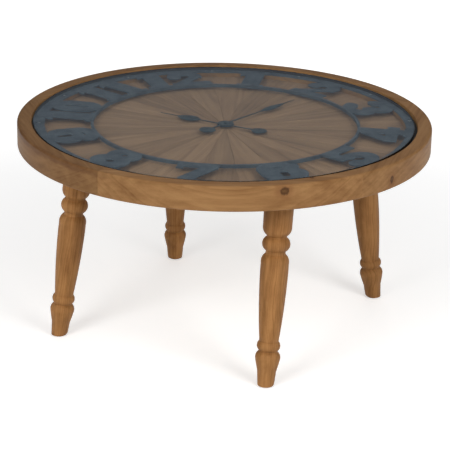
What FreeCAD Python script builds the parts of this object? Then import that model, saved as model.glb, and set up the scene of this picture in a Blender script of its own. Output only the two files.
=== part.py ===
import FreeCAD, Part
import math
import os

# Round coffee table with a working clock under its glass. All lengths are in millimetres.
# The origin is on the floor under the centre of the top. +Z is up and -Y is the side seen first.
Vec = FreeCAD.Vector
UP = Vec(0, 0, 1)
CENTRE = Vec(0, 0, 0)
FULL_TURN = 360.0

# Overall
table_height = 469.0
top_diameter = 900.0
cut_overrun = 10.0

# Rim: glued from equal segments, with a ledge inside for the dial and a pocket below for the board
rim_height = 53.0
rim_top_width = 31.0
rim_edge_round = 5.0
rim_foot_round = 3.0
rim_lip_round = 1.5
rim_segment_count = 5
rim_joint_deg = -123.7
ledge_width = 25.0
ledge_thickness = 9.5

# Dowels across the joints of the rim
rim_dowel_diameter = 8.0
rim_dowel_length = 40.0
rim_dowel_clearance = 0.05
rim_dowel_end_gap = 1.0
rim_dowel_drop_top = 14.0
rim_dowel_rise_bottom = 13.0
rim_dowel_edge_distance = 19.0

# Glass top and the black seal under its edge, which fills the gap between glass and rim
glass_thickness = 8.0
glass_recess = 1.5
glass_gap = 4.4
glass_shift = 1.7
glass_edge_round = 1.0
seal_height = 7.5
seal_under_glass = 1.5
seal_clearance = 0.4

# Dial frame of steel: outer band, inner ring and numerals between them
dial_turn_deg = 20.0
clock_shift = 2.1
hour_count = 12
band_thickness = 2.5
band_width = 23.0
band_clearance = 3.0
numeral_height = 99.5
ring_width = 6.0
ring_height = 7.0
numeral_thickness = 2.5
two_digit_gap = 2.0
numeral_edge_gap = 0.02

# Screws that hold the band down on the ledge
band_screw_diameter = 3.5
band_screw_head_diameter = 7.0
band_screw_head_height = 1.8
band_screw_length = 9.0
screw_hole_clearance = 0.1

# Board under the dial: wedge boards glued on a plywood core
wedge_count = 24
wedges_per_panel = 3
wedge_thickness = 6.0
core_thickness = 12.0
board_shoulder = 12.0
board_clearance = 0.4
wedge_eye_diameter = 12.0

# Screws that pull the board up against the ledge
board_screw_count = 8
board_screw_diameter = 4.0
board_screw_head_diameter = 8.0
board_screw_head_height = 2.4
board_screw_length = 24.0
board_screw_turn_deg = 12.5

# Turned legs: each leans outwards from its block to its own foot
foot_degs = (20.3, 108.3, 199.2, 285.2)
foot_insets = (71.2, 83.3, 74.4, 78.8)
leg_top_first_deg = 20.7
leg_top_inset = 122.0
leg_diameter = 61.3
leg_foot_round = 3.5
foot_pad_thickness = 2.0
foot_pad_diameter = 26.0

# Outline of a leg from foot to top, as shares of its radius and of its length along its own axis
leg_foot_share = (0.555, -0.012)
leg_profile_shares = [
    ("line", (0.650, 0.078)),
    ("arc", (0.735, 0.104), (0.853, 0.146)),
    ("arc", (0.820, 0.168), (0.632, 0.184)),
    ("line", (0.625, 0.189)),
    ("arc", (0.803, 0.216), (0.655, 0.239)),
    ("line", (0.665, 0.244)),
    ("arc", (0.845, 0.405), (0.955, 0.612)),
    ("line", (0.948, 0.650)),
    ("arc", (0.905, 0.679), (0.690, 0.700)),
    ("line", (0.662, 0.713)),
    ("line", (0.690, 0.717)),
    ("arc", (0.952, 0.752), (0.690, 0.788)),
    ("line", (0.668, 0.792)),
    ("line", (0.700, 0.797)),
    ("arc", (0.915, 0.816), (0.980, 0.845)),
    ("line", (1.000, 0.935)),
    ("line", (0.985, 1.000)),
]

# Blocks between board and legs, each with an underside square to its leg
block_side = 104.0
block_thickness = 22.0
block_corner_round = 8.0
block_screw_diameter = 4.5
block_screw_head_diameter = 9.0
block_screw_head_height = 3.0
block_screw_length = 22.0
block_screw_edge = 15.0
block_screw_sink = 12.0
block_screw_seat_clearance = 0.5

# Bolts that join legs and blocks
leg_bolt_diameter = 8.0
leg_bolt_into_leg = 32.0
leg_bolt_into_block = 14.0
leg_bolt_clearance = 0.05
leg_bolt_end_gap = 1.0
insert_diameter = 13.0
insert_length = 15.0

# Clock movement under the board, with its threaded stem up through it
case_side = 56.0
case_height = 16.0
case_wall = 1.5
case_corner_round = 3.0
case_bay_share = 0.29
case_back_gap = 0.15
stem_diameter = 8.0
stem_hole_clearance = 0.4
stem_bore_clearance = 0.08
stem_above_board = 4.2
stem_washer_diameter = 19.0
stem_washer_thickness = 0.8
stem_nut_flats = 12.0
stem_nut_height = 2.6
stem_nut_clearance = 0.05

# Circuit board against the ceiling of the case, and the coil that drives the train
circuit_length = 30.0
circuit_width = 12.0
circuit_thickness = 1.2
coil_diameter = 5.5
coil_length = 17.0
coil_cheek_diameter = 7.0
coil_cheek_width = 1.2

# Arbors and motion work
hour_tube_diameter = 5.0
minute_arbor_diameter = 3.4
arbor_clearance = 0.08
wheel_thickness = 1.6
wheel_gap = 0.6
wheel_play = 0.1
minute_pinion_radius = 2.9
motion_wheel_turns = 3.0
hour_wheel_turns = 4.0
motion_arbor_diameter = 2.4
knob_diameter = 13.0
knob_height = 3.0
knob_gap = 0.6
knob_notch_count = 12
knob_notch_diameter = 1.6

# Battery in the bay of the case
battery_diameter = 14.0
battery_length = 49.0
battery_tip_diameter = 5.5
battery_tip_length = 1.2
contact_thickness = 0.4
contact_width = 9.0
contact_gap = 0.2

# Hands, as they stand in the rest position, turned clockwise from the dial's twelve
hour_hand_deg = 318.5
minute_hand_deg = 59.2
hand_thickness = 1.2
hour_hand_lift = 0.6
hand_gap = 1.4
hour_hand_length = 165.0
minute_hand_length = 245.0
hand_stem_width = 4.6
hand_tip_width = 1.2
hand_hub_diameter = 36.0
hour_leaf_width = 34.0
hour_leaf_start = 62.0
hour_leaf_length = 62.0
minute_leaf_width = 19.0
minute_leaf_start = 120.0
minute_leaf_length = 92.0
hour_weight_distance = 83.0
hour_weight_diameter = 34.0
minute_weight_distance = 61.5
minute_weight_diameter = 36.0
minute_cap_diameter = 7.0
minute_cap_height = 2.0

# Places worked out from the sizes above
top_radius = top_diameter / 2
rim_wall_radius = top_radius - rim_top_width
rim_bottom = table_height - rim_height
leg_top_radius = top_radius - leg_top_inset
leg_count = len(foot_degs)
foot_mean_radius = top_radius - sum(foot_insets) / leg_count
clock_centre = Vec(clock_shift, 0, 0)
ledge_radius = rim_wall_radius - ledge_width
glass_radius = rim_wall_radius - glass_gap
glass_top_z = table_height - glass_recess
glass_bottom_z = glass_top_z - glass_thickness
ledge_top_z = glass_bottom_z - seal_height
dial_top_z = ledge_top_z + band_thickness
board_top_z = ledge_top_z - ledge_thickness
core_top_z = board_top_z - wedge_thickness
board_bottom_z = core_top_z - core_thickness
board_radius = ledge_radius + board_shoulder
pocket_radius = board_radius + board_clearance
band_radius = rim_wall_radius - band_clearance
band_inner_radius = band_radius - band_width
ring_radius = band_inner_radius - numeral_height
stem_radius = stem_diameter / 2
case_top_z = board_bottom_z
case_bottom_z = case_top_z - case_height
hour_hand_z = board_top_z + stem_above_board + hour_hand_lift
minute_hand_z = hour_hand_z + hand_thickness + hand_gap
hour_tube_radius = hour_tube_diameter / 2
minute_arbor_radius = minute_arbor_diameter / 2
dial_twelve_deg = 90.0 + dial_turn_deg


def polar(radius, degrees, z=0.0):
    angle = math.radians(degrees)
    return Vec(radius * math.cos(angle), radius * math.sin(angle), z)


def disc(radius, z, height, at=CENTRE):
    """A solid cylinder with its lower face at height z."""
    return Part.makeCylinder(radius, height, Vec(at.x, at.y, z))


def annulus(outer, inner, z, height):
    ring = disc(outer, z, height)
    return ring.cut(disc(inner, z - cut_overrun, height + 2 * cut_overrun))


def turned(points_and_arcs, start):
    """A solid of revolution about Z from an outline of lines and arcs in (radius, height) pairs."""
    edges = []
    here = start
    for piece in points_and_arcs:
        if piece[0] == "line":
            edges.append(Part.LineSegment(xz(here), xz(piece[1])).toShape())
        else:
            edges.append(Part.Arc(xz(here), xz(piece[1]), xz(piece[2])).toShape())
        here = piece[-1]
    face = Part.Face(Part.Wire(edges))
    return face.revolve(CENTRE, UP, FULL_TURN)


def xz(pair):
    return Vec(pair[0], 0, pair[1])


def sector(radius, z, height, start_deg, sweep_deg):
    """A slice of a disc between two angles."""
    middle = polar(radius, start_deg + sweep_deg / 2, z)
    first = polar(radius, start_deg, z)
    last = polar(radius, start_deg + sweep_deg, z)
    axis = Vec(0, 0, z)
    edges = [
        Part.LineSegment(axis, first).toShape(),
        Part.Arc(first, middle, last).toShape(),
        Part.LineSegment(last, axis).toShape(),
    ]
    return Part.Face(Part.Wire(edges)).extrude(Vec(0, 0, height))


def polygon(points, z, height):
    corners = [Vec(x, y, z) for x, y in points]
    return Part.Face(Part.makePolygon(corners + corners[:1])).extrude(Vec(0, 0, height))


def screw(diameter, head_diameter, head_height, length):
    """A countersunk wood screw that points down from its head, with the head's flat face at height zero."""
    shank = disc(diameter / 2, -length, length - head_height)
    head = Part.makeCone(diameter / 2, head_diameter / 2, head_height, Vec(0, 0, -head_height))
    slot_width = head_diameter / 6
    slot_depth = head_height / 3
    slot = Part.makeBox(head_diameter, slot_width, slot_depth, Vec(-head_diameter / 2, -slot_width / 2, -slot_depth))
    return shank.fuse(head).cut(slot).removeSplitter()


def screw_hole(diameter, head_diameter, head_height, length):
    """The room that a countersunk screw needs, with a little clearance all round."""
    grown = 2 * screw_hole_clearance
    shank = disc((diameter + grown) / 2, -length - screw_hole_clearance, length)
    head = Part.makeCone(diameter / 2, (head_diameter + grown) / 2, head_height + screw_hole_clearance,
                         Vec(0, 0, -head_height - screw_hole_clearance))
    mouth = disc((head_diameter + grown) / 2, 0, cut_overrun)
    return shank.fuse(head).fuse(mouth)


def placed(shape, point, turn_deg=0.0, flipped=False):
    """A copy turned about Z, or first turned upside down, and moved to a point."""
    copy = shape.copy()
    if flipped:
        copy.rotate(CENTRE, Vec(1, 0, 0), FULL_TURN / 2)
    copy.rotate(CENTRE, UP, turn_deg)
    copy.translate(point)
    return copy


def at_clock(shapes):
    """Moves parts that were built about the Z axis to the middle of the clock."""
    return [placed(shape, clock_centre) for shape in shapes]


def save(name, shapes):
    """Writes one solid, or a group of separate solids, as one file."""
    solids = [solid for shape in shapes for solid in shape.Solids]
    body = solids[0] if len(solids) == 1 else Part.makeCompound(solids)
    bad = [solid for solid in solids if not solid.isValid() or solid.Volume <= 0]
    print(f"{name}: {len(solids)} solid(s), {body.Volume / 1000:.1f} cm3, {len(bad)} bad")
    body.exportStep(f"parts/{name}.step")


# Rim
def band_screw_places():
    """On the ledge, midway between two numerals."""
    middle = (ledge_radius + band_radius) / 2
    step = FULL_TURN / hour_count
    return [(clock_centre + polar(middle, dial_twelve_deg + step * (k + 0.5), dial_top_z), step * k)
            for k in range(hour_count)]


def board_screw_places():
    middle = (ledge_radius + board_radius) / 2
    step = FULL_TURN / board_screw_count
    return [polar(middle, board_screw_turn_deg + step * k, board_bottom_z) for k in range(board_screw_count)]


def dowel_places():
    """Centre points and directions of the dowels, one above the other at each joint."""
    radius = top_radius - rim_dowel_edge_distance
    step = FULL_TURN / rim_segment_count
    heights = (table_height - rim_dowel_drop_top, rim_bottom + rim_dowel_rise_bottom)
    return [(polar(radius, rim_joint_deg + step * k, z), rim_joint_deg + step * k)
            for k in range(rim_segment_count) for z in heights]


def dowel(point, joint_deg, diameter, length):
    """A peg through the joint, square to it."""
    along = polar(1, joint_deg + FULL_TURN / 4)
    return Part.makeCylinder(diameter / 2, length, point - along * (length / 2), along)


def rim_ring():
    """The whole rim as one turned ring, before it is divided into segments."""
    corner = math.sqrt(0.5)
    edge, foot, lip = rim_edge_round, rim_foot_round, rim_lip_round
    start = (pocket_radius, rim_bottom)
    outline = [
        ("line", (top_radius - foot, rim_bottom)),
        ("arc", (top_radius - foot + foot * corner, rim_bottom + foot - foot * corner), (top_radius, rim_bottom + foot)),
        ("line", (top_radius, table_height - edge)),
        ("arc", (top_radius - edge + edge * corner, table_height - edge + edge * corner), (top_radius - edge, table_height)),
        ("line", (rim_wall_radius + lip, table_height)),
        ("arc", (rim_wall_radius + lip - lip * corner, table_height - lip + lip * corner), (rim_wall_radius, table_height - lip)),
        ("line", (rim_wall_radius, ledge_top_z)),
        ("line", (ledge_radius, ledge_top_z)),
        ("line", (ledge_radius, board_top_z)),
        ("line", (pocket_radius, board_top_z)),
        ("line", start),
    ]
    return turned(outline, start)


def make_rim():
    ring = rim_ring()
    step = FULL_TURN / rim_segment_count
    band_hole = screw_hole(band_screw_diameter, band_screw_head_diameter, band_screw_head_height, band_screw_length)
    board_hole = screw_hole(board_screw_diameter, board_screw_head_diameter, board_screw_head_height, board_screw_length)
    holes = [placed(band_hole, point) for point, _ in band_screw_places()]
    holes += [placed(board_hole, point, flipped=True) for point in board_screw_places()]
    holes += [dowel(point, turn, rim_dowel_diameter + 2 * rim_dowel_clearance, rim_dowel_length + rim_dowel_end_gap)
              for point, turn in dowel_places()]
    bored = ring.cut(Part.makeCompound(holes))
    for k in range(rim_segment_count):
        slice_shape = sector(top_radius + cut_overrun, rim_bottom - cut_overrun, rim_height + 2 * cut_overrun,
                             rim_joint_deg + step * k, step)
        save(f"rim_segment_{k + 1}", [bored.common(slice_shape)])
    pegs = [dowel(point, turn, rim_dowel_diameter, rim_dowel_length) for point, turn in dowel_places()]
    save("rim_dowels", pegs)


# Glass and seal
def make_glass():
    glass = disc(glass_radius, glass_bottom_z, glass_thickness)
    glass = glass.makeFillet(glass_edge_round, [e for e in glass.Edges if isinstance(e.Curve, Part.Circle)])
    glass.translate(Vec(-glass_shift, 0, 0))
    save("glass_top", [glass])
    seal = disc(rim_wall_radius - seal_clearance, ledge_top_z, seal_height)
    seat = disc(glass_radius - seal_under_glass, ledge_top_z, seal_height, Vec(-glass_shift, 0, 0))
    step = disc(band_radius + seal_clearance, ledge_top_z, band_thickness, clock_centre)
    save("glass_seal", [seal.cut(seat).cut(step)])


# Numerals, drawn in shares of the numeral's height, with y from the foot of the digit to its top
digit_shares = {
    "0": [("slot", 0.0, 0.36, 0.36, 0.64), ("hole", 0.0, 0.045, 0.30, 0.70)],
    "1": [("bar", -0.20, 0.0, 0.20, 1.0), ("bar", -0.29, 0.0, 0.29, 0.11),
          ("poly", (-0.20, 1.0), (-0.33, 0.84), (-0.33, 0.74), (-0.20, 0.80))],
    "2": [("arc", 0.0, 0.66, 0.34, 0.085, -30, 190), ("poly", (0.31, 0.58), (-0.10, 0.155), (-0.36, 0.155), (0.05, 0.57)),
          ("bar", -0.37, 0.0, 0.38, 0.23), ("disc", -0.21, 0.65, 0.13)],
    "3": [("arc", 0.0, 0.70, 0.30, 0.06, -95, 175), ("arc", 0.0, 0.315, 0.315, 0.07, -175, 95),
          ("disc", -0.17, 0.74, 0.125), ("disc", -0.19, 0.26, 0.125)],
    "4": [("bar", 0.0, 0.0, 0.26, 1.0), ("bar", -0.39, 0.20, 0.39, 0.44), ("bar", -0.08, 0.0, 0.36, 0.10),
          ("poly", (0.02, 1.0), (-0.39, 0.44), (-0.39, 0.20), (-0.15, 0.44), (0.02, 0.66))],
    "5": [("bar", -0.30, 0.78, 0.34, 1.0), ("bar", -0.30, 0.46, -0.08, 1.0), ("arc", -0.01, 0.335, 0.335, 0.085, -165, 140),
          ("disc", -0.20, 0.235, 0.13)],
    "6": [("slot", 0.0, 0.35, 0.35, 0.36), ("hole", 0.0, 0.065, 0.27, 0.42), ("arc", 0.0, 0.65, 0.35, 0.10, 20, 185),
          ("bar", -0.35, 0.33, -0.10, 0.67), ("disc", 0.19, 0.70, 0.13)],
    "7": [("bar", -0.39, 0.76, 0.40, 1.0), ("poly", (0.40, 0.80), (-0.01, 0.0), (-0.32, 0.0), (0.09, 0.80)),
          ("bar", -0.39, 0.66, -0.25, 1.0)],
    "8": [("arc", 0.0, 0.71, 0.29, 0.055, 0, 360), ("arc", 0.0, 0.315, 0.33, 0.07, 0, 360),
          ("poly", (-0.25, 0.62), (0.25, 0.62), (0.25, 0.48), (-0.25, 0.48))],
    "9": [("slot", 0.0, 0.35, 0.64, 0.65), ("hole", 0.0, 0.065, 0.58, 0.73), ("arc", 0.0, 0.35, 0.35, 0.10, -160, 5),
          ("bar", 0.10, 0.33, 0.35, 0.67), ("disc", -0.19, 0.30, 0.13)],
}

# How much wider than drawn each digit is cut, and how much taller, so that ring and band trim it
digit_width_shares = {"0": 1.05, "1": 1.06, "2": 1.22, "3": 1.50, "4": 1.28, "5": 1.40, "6": 1.40, "7": 1.08, "8": 1.36, "9": 1.36}
numeral_reach_share = 0.06
numeral_shift_shares = {5: -0.15}
read_from_outside = (4, 5, 6, 7, 8)


def stadium(middle, half_width, low, high, z, height):
    """An upright bar with round ends, whose end centres are at the low and high shares."""
    size = numeral_height
    body = polygon([((middle - half_width) * size, low * size), ((middle + half_width) * size, low * size),
                    ((middle + half_width) * size, high * size), ((middle - half_width) * size, high * size)], z, height)
    for level in (low, high):
        body = body.fuse(disc(half_width * size, z, height, Vec(middle * size, level * size, 0)))
    return body


def digit(character, z, height):
    """One digit as a plate that stands on the line y = 0."""
    size = numeral_height
    solid, holes = None, []
    for kind, *v in digit_shares[character]:
        if kind == "bar":
            piece = polygon([(v[0] * size, v[1] * size), (v[2] * size, v[1] * size),
                             (v[2] * size, v[3] * size), (v[0] * size, v[3] * size)], z, height)
        elif kind == "poly":
            piece = polygon([(x * size, y * size) for x, y in v], z, height)
        elif kind == "disc":
            piece = disc(v[2] * size, z, height, Vec(v[0] * size, v[1] * size, 0))
        elif kind == "slot":
            piece = stadium(v[0], v[1], v[2], v[3], z, height)
        elif kind == "hole":
            holes.append(stadium(v[0], v[1], v[2], v[3], z - cut_overrun, height + 2 * cut_overrun))
            continue
        else:
            piece = ring_part(v, z, height)
        solid = piece if solid is None else solid.fuse(piece)
    for hole in holes:
        solid = solid.cut(hole)
    return solid.removeSplitter()


def ring_part(v, z, height):
    """A curved stroke: part of a ring from one angle to another."""
    size = numeral_height
    middle = Vec(v[0] * size, v[1] * size, 0)
    start, sweep = v[4], v[5] - v[4]
    outer, inner = v[2] * size, v[3] * size
    if sweep == FULL_TURN:
        whole = disc(outer, z, height, middle)
    else:
        whole = Part.makeCylinder(outer, height, Vec(middle.x, middle.y, z), UP, sweep)
        whole.rotate(middle, UP, start)
    return whole.cut(disc(inner, z - cut_overrun, height + 2 * cut_overrun, middle))


def stretched(shape, wide, tall):
    """A copy made wider and taller about the middle of a digit's foot."""
    matrix = FreeCAD.Matrix()
    matrix.scale(Vec(wide, tall, 1))
    return shape.transformGeometry(matrix)


def numeral(hour):
    """The plate for one hour: its digits side by side, set between the ring and the band."""
    z = dial_top_z - numeral_thickness
    tall = 1 + 2 * numeral_reach_share
    plates, edge = [], 0
    for character in str(hour):
        plate = stretched(digit(character, z, numeral_thickness), digit_width_shares[character], tall)
        box = plate.BoundBox
        plate.translate(Vec(edge - box.XMin, 0, 0))
        edge += box.XLength + two_digit_gap
        plates.append(plate)
    middle = Vec((edge - two_digit_gap) / 2, numeral_height * tall / 2, 0)
    whole = Part.makeCompound(plates)
    if hour in read_from_outside:
        whole.rotate(middle, UP, FULL_TURN / 2)
    shift = numeral_height * numeral_shift_shares.get(hour, 0)
    whole.translate(Vec(shift - middle.x, ring_radius - numeral_height * numeral_reach_share, 0))
    whole.rotate(CENTRE, UP, dial_turn_deg - FULL_TURN * hour / hour_count)
    keep = annulus(band_inner_radius - numeral_edge_gap, ring_radius + numeral_edge_gap, z - cut_overrun,
                   numeral_thickness + 2 * cut_overrun)
    parts = [solid.common(keep).removeSplitter() for solid in whole.Solids]
    joined = parts[0]
    for part in parts[1:]:
        joined = joined.fuse(part)
    joined.translate(clock_centre)
    return joined.removeSplitter()


def make_dial():
    band = annulus(band_radius, band_inner_radius, ledge_top_z, band_thickness)
    band.translate(clock_centre)
    hole = screw_hole(band_screw_diameter, band_screw_head_diameter, band_screw_head_height, band_screw_length)
    one = screw(band_screw_diameter, band_screw_head_diameter, band_screw_head_height, band_screw_length)
    places = band_screw_places()
    band = band.cut(Part.makeCompound([placed(hole, point) for point, _ in places]))
    save("dial_outer_band", [band])
    ring = annulus(ring_radius, ring_radius - ring_width, dial_top_z - ring_height, ring_height)
    ring.translate(clock_centre)
    save("dial_inner_ring", [ring])
    save("band_screws", [placed(one, point, turn) for point, turn in places])
    for hour in range(1, hour_count + 1):
        save(f"numeral_{hour:02d}", [numeral(hour)])


# Board
def make_board():
    eye = disc(wedge_eye_diameter / 2, core_top_z - cut_overrun, wedge_thickness + 2 * cut_overrun, clock_centre)
    screw_room = screw_hole(board_screw_diameter, board_screw_head_diameter, board_screw_head_height, board_screw_length)
    rooms = Part.makeCompound([placed(screw_room, point, flipped=True) for point in board_screw_places()])
    step = FULL_TURN / wedge_count
    whole = disc(board_radius, core_top_z, wedge_thickness).cut(eye).cut(rooms)
    wedges = []
    for k in range(wedge_count):
        wedge = sector(2 * board_radius, core_top_z, wedge_thickness, dial_twelve_deg + step * k, step)
        wedge.translate(clock_centre)
        wedges.append(whole.common(wedge))
    for k in range(wedge_count // wedges_per_panel):
        save(f"sunburst_panel_{k + 1}", wedges[k * wedges_per_panel:(k + 1) * wedges_per_panel])
    core = disc(board_radius, board_bottom_z, core_thickness)
    core = core.cut(disc(stem_radius + stem_hole_clearance, board_bottom_z - cut_overrun, core_thickness + 2 * cut_overrun,
                         clock_centre))
    core = core.cut(rooms)
    pilot = disc((block_screw_diameter + 2 * screw_hole_clearance) / 2, -block_screw_length - screw_hole_clearance,
                 block_screw_length)
    core = core.cut(Part.makeCompound([placed(pilot, point, flipped=True) for point in block_screw_places()]))
    save("board_core", [core])
    one = screw(board_screw_diameter, board_screw_head_diameter, board_screw_head_height, board_screw_length)
    save("board_screws", [placed(one, point, flipped=True) for point in board_screw_places()])


# Legs and blocks
def foot_point(k):
    """Where the axis of a leg meets the floor."""
    return polar(top_radius - foot_insets[k], foot_degs[k])


def block_deg(k):
    """The direction of a leg's block from the middle of the table."""
    return leg_top_first_deg + FULL_TURN / leg_count * k


def leg_axis(k):
    """The unit vector from the foot of a leg up along its axis."""
    return (polar(leg_top_radius, block_deg(k), leg_rise) - foot_point(k)).normalize()


def block_centre(k):
    """Where the axis of a leg meets the underside of its block."""
    return foot_point(k) + leg_axis(k) * leg_length


leg_rise = board_bottom_z - block_thickness
leg_length = math.hypot(leg_rise, foot_mean_radius - leg_top_radius)


def leaned(shape, k):
    """Takes a shape made upright at the origin to the foot of leg k, leaning with it."""
    axis = leg_axis(k)
    copy = shape.copy()
    copy.rotate(CENTRE, UP.cross(axis), math.degrees(math.acos(axis.z)))
    copy.translate(foot_point(k))
    return copy


def leg_shape():
    """One leg, upright, turned from its outline, with the hole for its bolt."""
    radius = leg_diameter / 2

    def real(pair):
        return (pair[0] * radius, pair[1] * leg_length)

    start = (0, leg_foot_share[1] * leg_length)
    outline = [("line", real(leg_foot_share))]
    outline += [(piece[0],) + tuple(real(pair) for pair in piece[1:]) for piece in leg_profile_shares]
    outline += [("line", (0, leg_length)), ("line", start)]
    leg = turned(outline, start)
    hole = disc(leg_bolt_diameter / 2 + leg_bolt_clearance, leg_length - leg_bolt_into_leg - leg_bolt_end_gap,
                leg_bolt_into_leg + leg_bolt_end_gap + cut_overrun)
    return leg.cut(hole)


def foot_cut(leg, k):
    """Cuts the foot level above its pad and rounds the edge."""
    point = foot_point(k)
    reach = leg_diameter
    below = Part.makeBox(2 * reach, 2 * reach, reach, Vec(point.x - reach, point.y - reach, foot_pad_thickness - reach))
    leg = leg.cut(below)
    sole = [face for face in leg.Faces if abs(face.BoundBox.ZMax - foot_pad_thickness) < foot_pad_thickness / 100]
    return leg.makeFillet(leg_foot_round, sole[0].Edges)


def block_screw_places():
    """Seats of the block screws, near the four corners of each block, level with the sunk heads."""
    reach = block_side / 2 - block_screw_edge
    places = []
    for k in range(leg_count):
        middle = block_centre(k)
        for sx in (-1, 1):
            for sy in (-1, 1):
                corner = Vec(sx * reach, sy * reach, 0)
                turned_corner = FreeCAD.Rotation(UP, block_deg(k)).multVec(corner)
                places.append(Vec(middle.x + turned_corner.x, middle.y + turned_corner.y, board_bottom_z - block_screw_sink))
    return places


def block_shape(k):
    """A square block under the board, whose underside is square to leg k."""
    middle = block_centre(k)
    half = block_side / 2
    depth = block_thickness + half
    block = Part.makeBox(block_side, block_side, depth, Vec(-half, -half, board_bottom_z - depth))
    upright = [e for e in block.Edges if abs(e.tangentAt(e.FirstParameter).z) > math.sqrt(0.5)]
    block = block.makeFillet(block_corner_round, upright)
    block = placed(block, Vec(middle.x, middle.y, 0), block_deg(k))
    reach = 2 * block_side
    below = leaned(Part.makeBox(2 * reach, 2 * reach, reach, Vec(-reach, -reach, leg_length - reach)), k)
    return block.cut(below)


def make_legs():
    upright = leg_shape()
    bolt_radius = leg_bolt_diameter / 2
    bolt = disc(bolt_radius, leg_length - leg_bolt_into_leg, leg_bolt_into_leg + leg_bolt_into_block)
    insert = disc(insert_diameter / 2, leg_length, insert_length)
    insert_room = insert
    insert = insert.cut(disc(bolt_radius + leg_bolt_clearance, leg_length - cut_overrun, insert_length + 2 * cut_overrun))
    seat = disc(block_screw_head_diameter / 2 + block_screw_seat_clearance, -block_side, block_side)
    shank = disc(block_screw_diameter / 2 + screw_hole_clearance, 0, block_screw_length)
    cone = Part.makeCone(block_screw_head_diameter / 2 + screw_hole_clearance, block_screw_diameter / 2,
                         block_screw_head_height + screw_hole_clearance, CENTRE)
    room = seat.fuse(shank).fuse(cone)
    rooms = Part.makeCompound([placed(room, point) for point in block_screw_places()])
    for k in range(leg_count):
        save(f"leg_{k + 1}", [foot_cut(leaned(upright, k), k)])
        block = block_shape(k).cut(leaned(insert_room, k)).cut(rooms)
        save(f"leg_block_{k + 1}", [block])
    save("leg_bolts", [leaned(bolt, k) for k in range(leg_count)])
    save("leg_inserts", [leaned(insert, k) for k in range(leg_count)])
    one = screw(block_screw_diameter, block_screw_head_diameter, block_screw_head_height, block_screw_length)
    save("block_screws", [placed(one, point, flipped=True) for point in block_screw_places()])
    pads = [disc(foot_pad_diameter / 2, 0, foot_pad_thickness, foot_point(k)) for k in range(leg_count)]
    save("foot_pads", pads)


# Movement
motion_wheel_radius = minute_pinion_radius * motion_wheel_turns
shaft_distance = minute_pinion_radius + motion_wheel_radius
motion_pinion_radius = shaft_distance / (1 + hour_wheel_turns)
hour_wheel_radius = motion_pinion_radius * hour_wheel_turns
lower_wheel_z = case_bottom_z + 2 * case_wall + wheel_gap
upper_wheel_z = lower_wheel_z + wheel_thickness + wheel_gap
bay_depth = case_side * case_bay_share
bay_wall_y = -case_side / 2 + bay_depth
motion_point = Vec(0, shaft_distance, 0)
inner_half = case_side / 2 - case_wall


def case_shape():
    """A shallow box: the train's room closed by the back, and the open bay for the battery."""
    half = case_side / 2
    box = Part.makeBox(case_side, case_side, case_height, Vec(-half, -half, case_bottom_z))
    upright = [e for e in box.Edges if abs(e.tangentAt(e.FirstParameter).z) > math.sqrt(0.5)]
    box = box.makeFillet(case_corner_round, upright)
    depth = case_height - case_wall + cut_overrun
    train = Part.makeBox(2 * inner_half, inner_half - bay_wall_y - case_wall, depth,
                         Vec(-inner_half, bay_wall_y + case_wall, case_bottom_z - cut_overrun))
    bay = Part.makeBox(2 * inner_half, bay_depth - case_wall, depth,
                       Vec(-inner_half, -inner_half, case_bottom_z - cut_overrun))
    box = box.cut(train).cut(bay)
    stem = disc(stem_radius, case_top_z - case_wall, case_wall + board_top_z - case_top_z + stem_above_board)
    bore = disc(hour_tube_radius + stem_bore_clearance, case_bottom_z, case_height + board_top_z)
    return box.fuse(stem).cut(bore).removeSplitter()


def back_shape():
    """The plate that closes the train's room, with a hole for the setting knob's shaft."""
    gap = case_back_gap
    plate = Part.makeBox(2 * (inner_half - gap), inner_half - bay_wall_y - case_wall - 2 * gap, case_wall,
                         Vec(-inner_half + gap, bay_wall_y + case_wall + gap, case_bottom_z))
    hole = disc(motion_arbor_diameter / 2 + arbor_clearance, case_bottom_z - cut_overrun, case_wall + 2 * cut_overrun,
                motion_point)
    return plate.cut(hole)


def hexagon(flats, z, height):
    radius = flats / math.sqrt(3)
    return polygon([(radius * math.cos(math.pi / 3 * k), radius * math.sin(math.pi / 3 * k)) for k in range(6)], z, height)


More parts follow.
